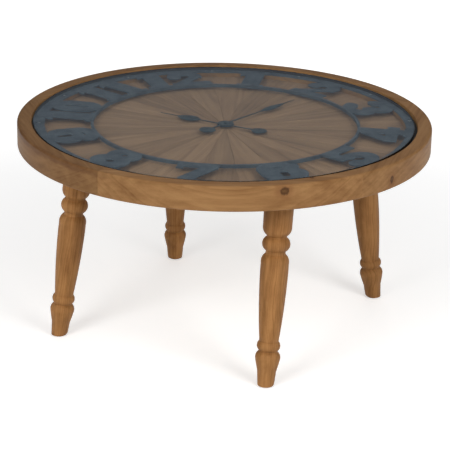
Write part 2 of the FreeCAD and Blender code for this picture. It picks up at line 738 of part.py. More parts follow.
def make_movement():
    save("movement_case", at_clock([case_shape()]))
    save("movement_back", at_clock([back_shape()]))
    washer = annulus(stem_washer_diameter / 2, stem_radius + stem_nut_clearance, board_top_z, stem_washer_thickness)
    nut_z = board_top_z + stem_washer_thickness
    nut = hexagon(stem_nut_flats, nut_z, stem_nut_height)
    nut = nut.cut(disc(stem_radius + stem_nut_clearance, nut_z - cut_overrun, stem_nut_height + 2 * cut_overrun))
    save("stem_nut_and_washer", at_clock([washer, nut]))

    tube_top = hour_hand_z + hand_thickness
    tube = disc(hour_tube_radius, upper_wheel_z, tube_top - upper_wheel_z)
    tube = tube.fuse(disc(hour_wheel_radius - wheel_play, upper_wheel_z, wheel_thickness))
    tube = tube.cut(disc(minute_arbor_radius + arbor_clearance, upper_wheel_z - cut_overrun, tube_top))
    save("hour_tube", at_clock([tube.removeSplitter()]))

    arbor_bottom = case_bottom_z + case_wall + wheel_gap
    arbor_top = minute_hand_z + hand_thickness
    arbor = disc(minute_arbor_radius, arbor_bottom, arbor_top - arbor_bottom)
    arbor = arbor.fuse(disc(minute_pinion_radius - wheel_play, lower_wheel_z, wheel_thickness))
    save("minute_arbor", at_clock([arbor.removeSplitter()]))

    board_z = case_top_z - case_wall - circuit_thickness
    board_middle = Vec(inner_half - circuit_width / 2 - knob_gap, (bay_wall_y + case_wall + inner_half) / 2, 0)
    circuit = Part.makeBox(circuit_width, circuit_length, circuit_thickness,
                           Vec(board_middle.x - circuit_width / 2, board_middle.y - circuit_length / 2, board_z))
    save("circuit_board", at_clock([circuit]))
    along = Vec(0, 1, 0)
    coil_start = Vec(board_middle.x, board_middle.y - coil_length / 2, board_z - coil_cheek_diameter / 2)
    coil = Part.makeCylinder(coil_diameter / 2, coil_length, coil_start, along)
    for end in (coil_start, coil_start + along * (coil_length - coil_cheek_width)):
        coil = coil.fuse(Part.makeCylinder(coil_cheek_diameter / 2, coil_cheek_width, end, along))
    save("drive_coil", at_clock([coil.removeSplitter()]))

    shaft_bottom = case_bottom_z - knob_gap
    shaft_top = upper_wheel_z + wheel_thickness
    shaft = disc(motion_arbor_diameter / 2, shaft_bottom, shaft_top - shaft_bottom, motion_point)
    shaft = shaft.fuse(disc(motion_wheel_radius - wheel_play, lower_wheel_z, wheel_thickness, motion_point))
    shaft = shaft.fuse(disc(motion_pinion_radius - wheel_play, upper_wheel_z, wheel_thickness, motion_point))
    save("motion_wheel", at_clock([shaft.removeSplitter()]))

    knob = disc(knob_diameter / 2, shaft_bottom - knob_height, knob_height, motion_point)
    notches = [disc(knob_notch_diameter / 2, shaft_bottom - knob_height - cut_overrun, knob_height + 2 * cut_overrun,
                    motion_point + polar(knob_diameter / 2, FULL_TURN / knob_notch_count * k)) for k in range(knob_notch_count)]
    save("setting_knob", at_clock([knob.cut(Part.makeCompound(notches))]))


def make_battery():
    """A cell lying in the bay, between a contact blade at each end."""
    radius = battery_diameter / 2
    middle_y = (-inner_half + bay_wall_y) / 2
    z = case_top_z - case_wall - radius - contact_gap
    left = Vec(-(battery_length + battery_tip_length) / 2, middle_y, z)
    body = Part.makeCylinder(radius, battery_length, left, Vec(1, 0, 0))
    rounded = body.makeFillet(radius / 10, [e for e in body.Edges if isinstance(e.Curve, Part.Circle)])
    tip = Part.makeCylinder(battery_tip_diameter / 2, battery_tip_length, left + Vec(battery_length, 0, 0), Vec(1, 0, 0))
    save("battery", at_clock([rounded.fuse(tip).removeSplitter()]))
    blades = []
    for side in (-1, 1):
        room = inner_half - (battery_length + battery_tip_length) / 2
        x = side * (inner_half - room / 2) - contact_thickness / 2
        blades.append(Part.makeBox(contact_thickness, contact_width, radius + contact_width / 2,
                                   Vec(x, middle_y - contact_width / 2, case_top_z - case_wall - radius - contact_width / 2)))
    save("battery_contacts", at_clock(blades))


# Hands
def hand(length, leaf_start, leaf_length, leaf_width, weight_distance, weight_diameter, bore_radius, z):
    """A flat hand that points along +Y: stem, leaf, needle tip, and a round weight behind the hub."""
    half = hand_stem_width / 2
    stem = polygon([(-half, -weight_distance), (half, -weight_distance), (half, leaf_start), (-half, leaf_start)],
                   z, hand_thickness)
    low = Vec(0, leaf_start - hand_stem_width, z)
    high = Vec(0, leaf_start + leaf_length, z)
    belly = leaf_start + leaf_length * leaf_belly_share
    sides = [Part.Arc(low, Vec(side * leaf_width / 2, belly, z), high).toShape() for side in (-1, 1)]
    leaf = Part.Face(Part.Wire(sides)).extrude(Vec(0, 0, hand_thickness))
    needle_start = leaf_start + leaf_length * needle_start_share
    needle = polygon([(-half, needle_start), (half, needle_start), (hand_tip_width / 2, length), (-hand_tip_width / 2, length)],
                     z, hand_thickness)
    weight = disc(weight_diameter / 2, z, hand_thickness, Vec(0, -weight_distance, 0))
    hub = disc(hand_hub_diameter / 2, z, hand_thickness)
    whole = stem.fuse(leaf).fuse(needle).fuse(weight).fuse(hub)
    whole = whole.cut(disc(bore_radius, z - cut_overrun, hand_thickness + 2 * cut_overrun))
    return whole.removeSplitter()


leaf_belly_share = 0.42
needle_start_share = 0.70


def make_hands():
    hour = hand(hour_hand_length, hour_leaf_start, hour_leaf_length, hour_leaf_width, hour_weight_distance,
                hour_weight_diameter, hour_tube_radius, hour_hand_z)
    hour.rotate(CENTRE, UP, dial_turn_deg - hour_hand_deg)
    save("hour_hand", at_clock([hour]))
    minute = hand(minute_hand_length, minute_leaf_start, minute_leaf_length, minute_leaf_width, minute_weight_distance,
                  minute_weight_diameter, minute_arbor_radius, minute_hand_z)
    minute.rotate(CENTRE, UP, dial_turn_deg - minute_hand_deg)
    save("minute_hand", at_clock([minute]))
    save("minute_cap", at_clock([disc(minute_cap_diameter / 2, minute_hand_z + hand_thickness, minute_cap_height)]))


def main():
    os.makedirs("parts", exist_ok=True)
    make_rim()
    make_glass()
    make_dial()
    make_board()
    make_legs()
    make_movement()
    make_battery()
    make_hands()


main()
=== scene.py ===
# %% [markdown]
# A round coffee table: a ring of glued wood holds a glass top, and under the glass lies a clock whose
# numerals, rings and hands are cut from steel plate. The imported model comes in first as a fixed frame.
# Everything made below is dressed onto it.

import math

import bpy
import numpy as np
from mathutils import Matrix, Vector


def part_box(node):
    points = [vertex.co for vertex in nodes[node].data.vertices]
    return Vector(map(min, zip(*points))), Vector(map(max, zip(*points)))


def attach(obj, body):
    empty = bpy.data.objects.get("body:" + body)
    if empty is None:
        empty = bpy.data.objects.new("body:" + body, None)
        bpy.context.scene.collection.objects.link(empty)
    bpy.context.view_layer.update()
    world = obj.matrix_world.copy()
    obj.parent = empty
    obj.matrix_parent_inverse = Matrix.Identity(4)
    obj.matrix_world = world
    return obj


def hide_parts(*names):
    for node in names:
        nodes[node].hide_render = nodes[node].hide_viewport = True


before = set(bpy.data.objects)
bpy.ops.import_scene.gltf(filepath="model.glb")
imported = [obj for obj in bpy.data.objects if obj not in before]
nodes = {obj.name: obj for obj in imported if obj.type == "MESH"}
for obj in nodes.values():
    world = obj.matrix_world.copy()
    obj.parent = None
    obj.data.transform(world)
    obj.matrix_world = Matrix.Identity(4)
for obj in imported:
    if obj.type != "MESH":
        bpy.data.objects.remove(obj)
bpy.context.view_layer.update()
mm = 0.001

# %% [markdown]
# The camera stands where the photographer's did. A long lens nearly four metres away makes the far and
# near edges of the round top almost equally wide, which is why the ellipse looks so calm. The camera's
# three axes are written out as vectors, and a matrix made of them turns it, with a slight roll.

# %% Camera
camera_place = Vector((0.0056, -3.7509, 1.6374))
camera_elevation = math.radians(20.71)
camera_roll = math.radians(1.25)
camera_lens_mm = 144.0
camera_sensor_mm = 36.0

level_right = Vector((1, 0, 0))
level_up = Vector((0, math.sin(camera_elevation), math.cos(camera_elevation)))
backwards = Vector((0, -math.cos(camera_elevation), math.sin(camera_elevation)))
right = math.cos(camera_roll) * level_right + math.sin(camera_roll) * level_up
up = math.cos(camera_roll) * level_up - math.sin(camera_roll) * level_right
camera_data = bpy.data.cameras.new("camera")
camera_data.lens = camera_lens_mm
camera_data.sensor_width = camera_sensor_mm
camera = bpy.data.objects.new("camera", camera_data)
bpy.context.scene.collection.objects.link(camera)
turn_to_axes = Matrix((right, up, backwards)).transposed().to_4x4()
camera.matrix_world = Matrix.Translation(camera_place) @ turn_to_axes
bpy.context.scene.camera = camera
bpy.context.scene.view_settings.view_transform = "Standard"
print("camera at", tuple(camera_place))

# %% [markdown]
# Every shader tree here is wired with the same small helpers. The first ones add a node and fill its
# inputs, either with a value or with a link from another node.

# %% Wiring helpers
def connect(tree, node, inputs):
    """Fills inputs by name or number: a socket is linked to the input, any other value is set on it."""
    for key, value in inputs.items():
        if isinstance(value, bpy.types.NodeSocket):
            tree.links.new(value, node.inputs[key])
        else:
            node.inputs[key].default_value = value


def put(tree, kind, inputs=None, **settings):
    """Adds a node, sets its properties and fills its inputs."""
    node = tree.nodes.new(kind)
    for key, value in settings.items():
        setattr(node, key, value)
    connect(tree, node, inputs or {})
    return node


def math_node(tree, operation, *values):
    """One calculation. MULTIPLY_ADD is the first value times the second, plus the third."""
    return put(tree, "ShaderNodeMath", dict(enumerate(values)), operation=operation).outputs[0]


def vector_node(tree, operation, *values):
    """One calculation on each of X, Y and Z."""
    return put(tree, "ShaderNodeVectorMath", dict(enumerate(values)), operation=operation).outputs[0]


def scaled(tree, vector, factor):
    inputs = {0: vector, "Scale": factor}
    return put(tree, "ShaderNodeVectorMath", inputs, operation="SCALE").outputs[0]


def length(tree, vector):
    return put(tree, "ShaderNodeVectorMath", {0: vector}, operation="LENGTH").outputs["Value"]


def spread(tree, value, low, high, to_low=0.0, to_high=1.0):
    """Carries a value from one range to another with a soft start and end."""
    inputs = {"Value": value, "From Min": low, "From Max": high, "To Min": to_low, "To Max": to_high}
    return put(tree, "ShaderNodeMapRange", inputs, interpolation_type="SMOOTHSTEP").outputs["Result"]


def fade(tree, value, low, high):
    """1 below the range, 0 above it."""
    return spread(tree, value, low, high, 1.0, 0.0)


def swing(tree, value, amount, onto):
    """Adds a value between 0 and 1 as a swing to both sides: (value - 0.5) times the amount."""
    return math_node(tree, "MULTIPLY_ADD", math_node(tree, "SUBTRACT", value, 0.5), amount, onto)


def stretched(tree, place, scale):
    """The place multiplied along each axis, so that noise read from it is drawn out along the others."""
    return put(tree, "ShaderNodeMapping", {"Vector": place, "Scale": scale}).outputs[0]


def noise(tree, place, scale=1.0, detail=2.0, roughness=0.5):
    """Soft random clouds: Fac is one value between 0 and 1, Color three of them."""
    inputs = {"Vector": place, "Scale": scale, "Detail": detail, "Roughness": roughness}
    return put(tree, "ShaderNodeTexNoise", inputs).outputs


def blend_colours(tree, share, first, second):
    node = put(tree, "ShaderNodeMix", data_type="RGBA")
    connect(tree, node, {0: share, 6: first, 7: second})
    return node.outputs[2]


def paint(tree, below, mask, strength, colour):
    """Lays a colour over what is below, as much as the mask times the strength."""
    return blend_colours(tree, math_node(tree, "MULTIPLY", mask, strength), below, colour)


# %% [markdown]
# An effect that several finishes share is a node group, built once with named inputs and outputs and
# then placed in each material with its own values. Two more helpers open a group and place it, and the
# last two start a material and hand a group's results to its shader.

# %% Group and material helpers
SOCKETS = {"value": "NodeSocketFloat", "vector": "NodeSocketVector", "colour": "NodeSocketColor"}
ORIGIN = (0, 0, 0)


def open_group(name, inputs, outputs):
    """A new shader node group. Inputs and outputs are (name, kind, default) and (name, kind)."""
    tree = bpy.data.node_groups.new(name, "ShaderNodeTree")
    for label, kind, default in inputs:
        socket = tree.interface.new_socket(label, in_out="INPUT", socket_type=SOCKETS[kind])
        socket.default_value = default
    for label, kind in outputs:
        tree.interface.new_socket(label, in_out="OUTPUT", socket_type=SOCKETS[kind])
    return tree, tree.nodes.new("NodeGroupInput").outputs, tree.nodes.new("NodeGroupOutput").inputs


def fill(tree, group, inputs):
    node = tree.nodes.new("ShaderNodeGroup")
    node.node_tree = group
    connect(tree, node, inputs)
    return node.outputs


def object_position(tree):
    return put(tree, "ShaderNodeTexCoord").outputs["Object"]


def new_material(name, **shader):
    """A material with one Principled shader, whose constant inputs are set by name."""
    material = bpy.data.materials.new(name)
    material.use_nodes = True
    tree = material.node_tree
    principled = tree.nodes["Principled BSDF"]
    for key, value in shader.items():
        label = key.replace("_", " ").title().replace("Ior", "IOR")
        principled.inputs[label].default_value = value
    return material, tree, principled


def cover(tree, principled, colour, look, strength, distance):
    """Feeds the shader a colour, and from a group its roughness and its height as a shallow bump."""
    bump_inputs = {"Height": look["Height"], "Strength": strength, "Distance": distance}
    bump = put(tree, "ShaderNodeBump", bump_inputs).outputs[0]
    tree.links.new(colour, principled.inputs["Base Color"])
    tree.links.new(look["Roughness"], principled.inputs["Roughness"])
    tree.links.new(bump, principled.inputs["Normal"])


# %% [markdown]
# The studio is a white floor, a white world and three soft lamps. Floor and world add white only for
# rays that come from the camera, a mirror reflection or glass, so the table's own colours stay as they
# are written and its shadow still shows. Glass seen at a low angle mirrors whatever stands behind it. A
# dark wall round the studio, which only mirror rays can see, keeps that reflection from washing out the
# clock, as photographers do with dark cards.

# %% Floor, wall and world
WHITE = (1, 1, 1, 1)


def seen_directly(tree):
    """1 for camera, mirror and glass rays, 0 for the rays that carry light."""
    path = put(tree, "ShaderNodeLightPath").outputs
    either = math_node(tree, "MAXIMUM", path["Is Camera Ray"], path["Is Transmission Ray"])
    return math_node(tree, "MAXIMUM", either, path["Is Glossy Ray"])


def add_stage_mesh(name, corners, faces, material):
    mesh = bpy.data.meshes.new(name)
    mesh.from_pydata(corners, [], faces)
    mesh.materials.append(material)
    piece = bpy.data.objects.new(name, mesh)
    bpy.context.scene.collection.objects.link(piece)
    return piece


def add_floor(half=30.0, near=0.5, far=2.6, glow_near=0.46, glow_far=0.74):
    """Far from the table the lamps reach the floor less, so its own white grows there to make up for
    it. Seen from below the floor is clear, so that the underside of the table can be looked at."""
    material, tree, principled = new_material(
        "studio_floor", roughness=1.0, specular_ior_level=0.0, base_color=(0.80, 0.80, 0.80, 1),
        emission_color=WHITE)
    glow = spread(tree, length(tree, object_position(tree)), near, far, glow_near, glow_far)
    white = math_node(tree, "MULTIPLY", seen_directly(tree), glow)
    tree.links.new(white, principled.inputs["Emission Strength"])
    below = put(tree, "ShaderNodeNewGeometry").outputs["Backfacing"]
    clear = put(tree, "ShaderNodeBsdfTransparent").outputs[0]
    mix = put(tree, "ShaderNodeMixShader", {0: below, 1: principled.outputs[0], 2: clear}).outputs[0]
    tree.links.new(mix, tree.nodes["Material Output"].inputs["Surface"])
    corners = [(-half, -half, 0), (half, -half, 0), (half, half, 0), (-half, half, 0)]
    add_stage_mesh("floor", corners, [(0, 1, 2, 3)], material)


def add_wall(colour=(0.104, 0.116, 0.136, 1), radius=6.0, height=13.0, sides=48):
    """A dark drum for mirror rays. A ray that only went through glass still finds it white."""
    material, tree, principled = new_material(
        "studio_wall", roughness=1.0, specular_ior_level=0.0, base_color=(0, 0, 0, 1),
        emission_strength=1.0)
    path = put(tree, "ShaderNodeLightPath").outputs
    mirrored = math_node(tree, "MINIMUM", path["Glossy Depth"], 1.0)
    shown = blend_colours(tree, mirrored, WHITE, colour)
    tree.links.new(shown, principled.inputs["Emission Color"])
    angles = np.linspace(0, 2 * np.pi, sides, endpoint=False)
    ring = [(radius * math.cos(a), radius * math.sin(a)) for a in angles]
    corners = [(x, y, z) for z in (0.0, height) for x, y in ring]
    faces = [(k, (k + 1) % sides, sides + (k + 1) % sides, sides + k) for k in range(sides)]
    wall = add_stage_mesh("wall", corners, faces, material)
    wall.visible_camera = False
    wall.visible_diffuse = False
    wall.visible_shadow = False


def add_world(fill_level=0.34):
    world = bpy.data.worlds.new("studio")
    bpy.context.scene.world = world
    world.use_nodes = True
    tree = world.node_tree
    level = math_node(tree, "MULTIPLY_ADD", seen_directly(tree), 1.0 - fill_level, fill_level)
    connect(tree, tree.nodes["Background"], {"Color": WHITE, "Strength": level})


add_floor()
add_wall()
add_world()
print("studio: floor, wall and world")

# %% [markdown]
# Two large round lamps stand left and right of the camera, a little stronger on the right, and a weak
# one behind the table lifts the far rim. Mirror and glass rays don't see them, so the glass shows no
# bright discs.

# %% Lamps
def add_lamp(name, place, aim_height, size, watts):
    data = bpy.data.lights.new(name, "AREA")
    data.shape = "DISK"
    data.size = size
    data.energy = watts
    lamp = bpy.data.objects.new(name, data)
    bpy.context.scene.collection.objects.link(lamp)
    lamp.location = place
    aim = Vector((0, 0, aim_height)) - Vector(place)
    lamp.rotation_euler = aim.to_track_quat("-Z", "Y").to_euler()
    lamp.visible_glossy = False
    lamp.visible_transmission = False
    return lamp


lamps = [add_lamp("left_lamp", (-1.7, -2.4, 1.85), 0.30, 1.6, 47.0),
         add_lamp("right_lamp", (1.9, -2.2, 1.85), 0.30, 1.6, 50.0),
         add_lamp("back_lamp", (0.4, 3.2, 1.6), 0.35, 2.0, 12.0)]
print("lamps:", [lamp.name for lamp in lamps])

# %% [markdown]
# Every new piece below is a loft: a closed outline repeated along a path. A rim segment repeats its
# section round an arc, a leg repeats a circle up its axis, and a hand repeats its thin section along
# its length. One helper turns such a grid of points into a closed mesh, so the shapes themselves can
# stay short formulas.

# %% Loft helpers
def grid_faces(rows, around, first=0):
    """Row j joins row j + 1, each row joins round on itself, and a flat face closes each end."""
    index = first + np.arange(rows * around).reshape(rows, around)
    turned = np.roll(index, -1, axis=1)
    quads = np.stack([index[:-1], turned[:-1], turned[1:], index[1:]], axis=-1).reshape(-1, 4)
    return quads.tolist() + [index[0][::-1].tolist(), index[-1].tolist()]


def signed_volume(points, faces):
    """Adds up, over a fan of triangles, the box product of the corners: negative means inside out."""
    total = 0.0
    for face in faces:
        first = points[face[0]]
        rest = points[face[1:]]
        firsts = np.broadcast_to(first, rest[:-1].shape)
        total += np.einsum("ij,ij->", np.cross(rest[:-1], rest[1:]), firsts)
    return total / 6


def add_piece(name, points, faces, body, slot, node, material, tone=None, place=None, sharp_deg=40.0):
    """A mesh with its faces outwards, which rides on a body in place of a node of the model. The tone
    and the grain's place go with each point, for the wood to read."""
    if signed_volume(points, faces) < 0:
        faces = [face[::-1] for face in faces]
    mesh = bpy.data.meshes.new(name)
    mesh.from_pydata(points.tolist(), [], faces)
    if place is not None:
        attribute = mesh.attributes.new("grain_place", "FLOAT_VECTOR", "POINT")
        attribute.data.foreach_set("vector", place.reshape(-1).astype(np.float32))
    if tone is not None:
        attribute = mesh.attributes.new("board_tone", "FLOAT", "POINT")
        attribute.data.foreach_set("value", np.broadcast_to(tone, len(points)).astype(np.float32))
    mesh.polygons.foreach_set("use_smooth", [len(face) == 4 for face in faces])
    mesh.set_sharp_from_angle(angle=math.radians(sharp_deg))
    mesh.materials.append(material)
    piece = bpy.data.objects.new(name, mesh)
    bpy.context.scene.collection.objects.link(piece)
    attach(piece, body)
    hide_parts(node)
    return piece


def loft(name, grid, *rest, **looks):
    """Closed surface from a grid of points (along, around, xyz)."""
    return add_piece(name, grid.reshape(-1, 3), grid_faces(*grid.shape[:2]), *rest, **looks)


def circle(count):
    angles = np.linspace(0, 2 * np.pi, count, endpoint=False)
    return np.cos(angles), np.sin(angles)


# %% [markdown]
# Wood is what the eye meets first. A tree grows a pale soft layer and a thin dark one each year, so a
# board shows rings cut at a slant. The group measures how far each point lies from the middle of the
# tree, bends that distance with slow noise, and repeats pale to dark once a ring. Long streaks, fine
# fibres and slow clouds of stain lie over the rings, so no two stretches look alike. It reads the
# attribute grain_place, which holds every point's place in its own board: X along the grain, and the
# tree's middle at Y = Z = 0. Wood glued from staves takes a new tone and new rings at each stave.

# %% Wood grain group
# How often each noise repeats in a metre: along X, which is the grain, and across it.
bend_repeats = (2.5, 14.0, 14.0)
streak_repeats = (3.0, 60.0, 60.0)
cloud_repeats = (7.0, 17.0, 17.0)
fibre_repeats = (36.0, 1300.0, 1300.0)
# What each of them adds to the darkness.
streak_weight, cloud_weight, fibre_weight = 0.50, 0.9, 0.35
# Ring widths drift slowly, and every ring has its own strength.
drift_rate, drift_rings = 0.35, 2.0
weakest_ring, ring_range = 0.4, 0.8
late_power, late_end = 1.8, 0.86
stave_jump = 0.3


def make_wood_group():
    """Darkness is ring darkness + streaks + clouds + fibres, kept between 0 and 1. Ring darkness grows
    with a power of the way through the ring and falls back quickly from late_end to the ring's end."""
    tree, given, out = open_group("wood_grain", [
        ("Place", "vector", ORIGIN), ("Ring Width", "value", 0.005), ("Waviness", "value", 0.008),
        ("Pale", "colour", (0.4, 0.25, 0.12, 1)), ("Dark", "colour", (0.2, 0.1, 0.04, 1)),
        ("Ring Contrast", "value", 0.5), ("Tone", "value", 0.5), ("Tone Range", "value", 0.3),
        ("Stave Width", "value", 10.0), ("Stave Range", "value", 0.0)],
        [("Colour", "colour"), ("Roughness", "value"), ("Height", "value")])
    side = put(tree, "ShaderNodeSeparateXYZ", {0: given["Place"]}).outputs["Y"]
    stave = math_node(tree, "FLOOR", math_node(tree, "DIVIDE", side, given["Stave Width"]))
    own = put(tree, "ShaderNodeTexWhiteNoise", {"W": stave}, noise_dimensions="1D").outputs
    shift = scaled(tree, scaled(tree, own["Color"], given["Stave Range"]), stave_jump)
    place = vector_node(tree, "ADD", given["Place"], shift)

    bend = noise(tree, stretched(tree, place, bend_repeats))["Color"]
    centred = vector_node(tree, "SUBTRACT", bend, (0.5, 0.5, 0.5))
    bent = vector_node(tree, "ADD", place, scaled(tree, centred, given["Waviness"]))
    distance = length(tree, vector_node(tree, "MULTIPLY", bent, (0, 1, 1)))
    ring = math_node(tree, "DIVIDE", distance, given["Ring Width"])
    along_rings = {"W": math_node(tree, "MULTIPLY", ring, drift_rate), "Scale": 1.0}
    drift = put(tree, "ShaderNodeTexNoise", along_rings, noise_dimensions="1D").outputs["Fac"]
    ring = math_node(tree, "MULTIPLY_ADD", drift, drift_rings, ring)
    step = math_node(tree, "FRACT", ring)
    growth = math_node(tree, "POWER", step, late_power)
    late = math_node(tree, "MULTIPLY", growth, fade(tree, step, late_end, 1.0))
    year = {"W": math_node(tree, "FLOOR", ring)}
    strength = put(tree, "ShaderNodeTexWhiteNoise", year, noise_dimensions="1D").outputs["Value"]
    strength = math_node(tree, "MULTIPLY_ADD", strength, ring_range, weakest_ring)
    late = math_node(tree, "MULTIPLY", late, strength)

    streaks = noise(tree, stretched(tree, place, streak_repeats), detail=4.0, roughness=0.62)["Fac"]
    clouds = noise(tree, stretched(tree, place, cloud_repeats))["Fac"]
    fibres = noise(tree, stretched(tree, place, fibre_repeats))["Fac"]
    dark = math_node(tree, "MULTIPLY", late, given["Ring Contrast"])
    dark = math_node(tree, "MULTIPLY_ADD", spread(tree, streaks, 0.3, 0.72), streak_weight, dark)
    dark = swing(tree, clouds, cloud_weight, dark)
    dark = swing(tree, fibres, fibre_weight, dark)
    dark = math_node(tree, "MAXIMUM", math_node(tree, "MINIMUM", dark, 1.0), 0.0)
    colour = blend_colours(tree, dark, given["Pale"], given["Dark"])
    shade = swing(tree, given["Tone"], given["Tone Range"], 1.0)
    shade = swing(tree, own["Value"], given["Stave Range"], shade)
    colour = put(tree, "ShaderNodeHueSaturation", {"Color": colour, "Value": shade}).outputs[0]
    tree.links.new(colour, out["Colour"])
    tree.links.new(math_node(tree, "MULTIPLY_ADD", fibres, 0.2, 0.42), out["Roughness"])
    height = math_node(tree, "MULTIPLY_ADD", fibres, 0.6, math_node(tree, "MULTIPLY", late, 0.4))
    tree.links.new(height, out["Height"])
    return tree


wood_grain = make_wood_group()
print("wood grain group:", len(wood_grain.nodes), "nodes")

# %% [markdown]
# A knot is the root of a branch: a dark core, a darker rim round it, and a reddish halo. The group
# measures the distance from one point in shares of the knot's own radii, and fine noise makes its
# outline uneven.

# %% Knot group
knot_noise_scale = 110.0
knot_unevenness = 1.3
halo_end = 2.6


def make_knot_group():
    """The core ends at a share of about 1, the edge is its outer part, and the halo fades round it."""
    tree, given, out = open_group("knot_mark", [
        ("Position", "vector", ORIGIN), ("Centre", "vector", ORIGIN),
        ("Radii", "vector", (0.008, 0.008, 0.008))],
        [("Core", "value"), ("Edge", "value"), ("Halo", "value")])
    apart = vector_node(tree, "SUBTRACT", given["Position"], given["Centre"])
    share = length(tree, vector_node(tree, "DIVIDE", apart, given["Radii"]))
    uneven = noise(tree, given["Position"], knot_noise_scale, detail=3.0)["Fac"]
    share = swing(tree, uneven, knot_unevenness, share)
    core = fade(tree, share, 0.60, 1.10)
    tree.links.new(core, out["Core"])
    tree.links.new(math_node(tree, "MULTIPLY", core, spread(tree, share, 0.15, 0.75)), out["Edge"])
    tree.links.new(fade(tree, share, 0.9, halo_end), out["Halo"])
    return tree


knot_mark = make_knot_group()

# %% [markdown]
# A dark band follows the outer top edge of the rim at the left, so the mark has to bend with the rim,
# which a straight streak can't do.

# %% Edge band group
band_noise_scale = 22.0
band_unevenness = 3.0


def make_dark_band_group():
    """How far a point lies from a circle of one radius and height, in shares of the band's thickness.
    The band fades out away from a centre, over the reach."""
    tree, given, out = open_group("dark_edge_band", [
        ("Position", "vector", ORIGIN), ("Centre", "vector", ORIGIN), ("Radius", "value", 0.45),
        ("Thickness", "value", 0.006), ("Reach", "value", 0.2)], [("Band", "value")])
    apart = vector_node(tree, "SUBTRACT", given["Position"], given["Centre"])
    around = length(tree, vector_node(tree, "MULTIPLY", given["Position"], (1, 1, 0)))
    beside = math_node(tree, "SUBTRACT", around, given["Radius"])
    above = put(tree, "ShaderNodeSeparateXYZ", {0: apart}).outputs["Z"]
    off = length(tree, put(tree, "ShaderNodeCombineXYZ", {"X": beside, "Y": above}).outputs[0])
    share = math_node(tree, "DIVIDE", off, given["Thickness"])
    uneven = noise(tree, given["Position"], band_noise_scale, detail=3.0)["Fac"]
    share = swing(tree, uneven, band_unevenness, share)
    near = math_node(tree, "DIVIDE", length(tree, apart), given["Reach"])
    band_mask = math_node(tree, "MULTIPLY", fade(tree, share, 0.4, 1.9), fade(tree, near, 0.5, 1.0))
    tree.links.new(band_mask, out["Band"])
    return tree


dark_edge_band = make_dark_band_group()
print("marks:", knot_mark.name, dark_edge_band.name)

# %% [markdown]
# All the wood on show is the same stained and waxed softwood, with other tones and other ring widths.
# So one function makes each of its materials, and lays knots and dark edge bands over the grain where a
# piece has them.

# %% Wood material
knot_paints = (("Halo", 0.45, (0.17, 0.065, 0.022, 1)), ("Core", 0.80, (0.095, 0.042, 0.013, 1)),
               ("Edge", 0.65, (0.034, 0.014, 0.005, 1)))
band_strength, band_colour = 0.55, (0.085, 0.030, 0.010, 1)


def wood_material(name, pale, dark, ring_width, contrast, waviness, tone_range, knots=(), dark_bands=(),
                  stave_width=10.0, stave_range=0.0):
    """Knots are (centre, width, height) and dark bands (centre, radius, reach), in the object's metres.
    """
    material, tree, principled = new_material(name, specular_ior_level=0.15)
    place = put(tree, "ShaderNodeAttribute", attribute_name="grain_place").outputs["Vector"]
    tone = put(tree, "ShaderNodeAttribute", attribute_name="board_tone").outputs["Fac"]
    grain = fill(tree, wood_grain, {
        "Place": place, "Ring Width": ring_width, "Waviness": waviness, "Pale": (*pale, 1),
        "Dark": (*dark, 1), "Ring Contrast": contrast, "Tone": tone, "Tone Range": tone_range,
        "Stave Width": stave_width, "Stave Range": stave_range})
    colour = grain["Colour"]
    position = object_position(tree)
    for centre, width, height in knots:
        radii = (width / 2, width / 2, height / 2)
        mark = fill(tree, knot_mark, {"Position": position, "Centre": centre, "Radii": radii})
        for part, strength, knot_colour in knot_paints:
            colour = paint(tree, colour, mark[part], strength, knot_colour)
    for centre, radius, reach in dark_bands:
        band_inputs = {"Position": position, "Centre": centre, "Radius": radius, "Reach": reach}
        mark = fill(tree, dark_edge_band, band_inputs)
        colour = paint(tree, colour, mark["Band"], band_strength, band_colour)
    cover(tree, principled, colour, grain, strength=0.12, distance=0.6 * mm)
    return material


# %% [markdown]
# The rim is a ring of five curved pieces of fir glued end to end. Each was sawn from a straight board,
# so its grain runs straight along the middle of the piece while the edge curves away from it. That is
# why the lines of the grain open out near the middle and the tone changes a little at each joint. The
# section below goes once round: outer face with a rounded top edge, top face, the step that holds the
# glass, the ledge for the dial and the pocket for the board.

# %% Rim sizes and section
rim_outer = 450.0 * mm
rim_wall = 419.0 * mm
ledge_inner = 394.0 * mm
pocket_outer = 406.4 * mm
rim_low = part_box("rim_segment_1")[0].z
rim_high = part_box("rim_segment_1")[1].z
ledge_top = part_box("dial_outer_band")[0].z
ledge_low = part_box("sunburst_panel_1")[1].z
lower_round = 3.0 * mm
upper_round = 5.0 * mm
step_round = 1.5 * mm


def rounded_corner(edge, level, inward, radius, start_deg, steps):
    """Points of the quarter circle that rounds a corner. Its centre lies one radius in from the corner
    both ways, and inward holds the two signs that say which way that is."""
    centre = (edge + inward[0] * radius, level + inward[1] * radius)
    angles = np.radians(start_deg + np.linspace(0, 90, steps))
    return [(centre[0] + radius * math.cos(a), centre[1] + radius * math.sin(a)) for a in angles]


def rim_section():
    """Points (radius, height). The straight faces carry a few of their own between the corners."""
    points = rounded_corner(rim_outer, rim_low, (-1, 1), lower_round, start_deg=-90, steps=7)
    points += [(rim_outer, z) for z in np.linspace(rim_low + 6 * mm, rim_high - 8 * mm, 8)]
    points += rounded_corner(rim_outer, rim_high, (-1, -1), upper_round, start_deg=0, steps=9)
    points += [(r, rim_high) for r in np.linspace(rim_outer - 9 * mm, rim_wall + 5 * mm, 5)]
    points += rounded_corner(rim_wall, rim_high, (1, -1), step_round, start_deg=90, steps=5)
    points += [(rim_wall, ledge_top), (ledge_inner, ledge_top), (ledge_inner, ledge_low)]
    points += [(pocket_outer, ledge_low), (pocket_outer, rim_low)]
    return np.array(points)


rim_outline = rim_section()
print("rim section:", len(rim_outline), "points")
